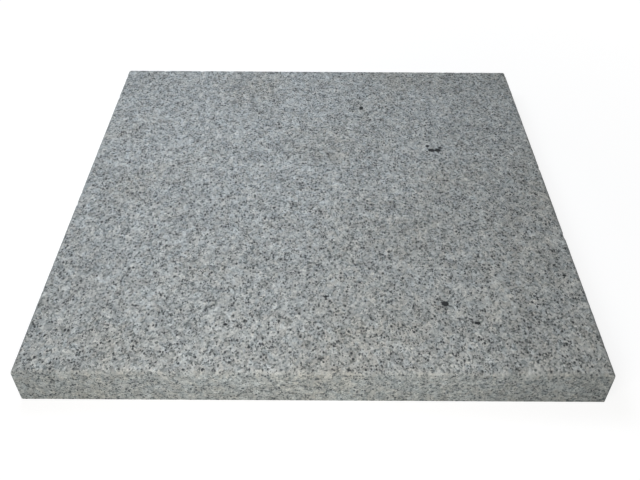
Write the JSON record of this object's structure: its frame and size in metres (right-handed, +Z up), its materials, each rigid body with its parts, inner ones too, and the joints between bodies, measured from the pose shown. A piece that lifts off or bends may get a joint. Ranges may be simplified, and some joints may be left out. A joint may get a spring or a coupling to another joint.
{
  "type": "granite paving slab",
  "caption": "Square sawn slab of speckled light grey granite with a matt walking face and small ground arrises, laid flat side by side as hard paving.",
  "frame": {"origin": "middle of the bedding face, the underside that lies on the ground", "axes": "+Z up out of the walking face, X along the slab's length from side to side, +Y along its width from front to back"},
  "size_m": [0.4, 0.4, 0.03],
  "materials": {
    "granite": "matte"
  },
  "bodies": {
    "root": {"granite_slab": "granite"}
  },
  "joints": []
}
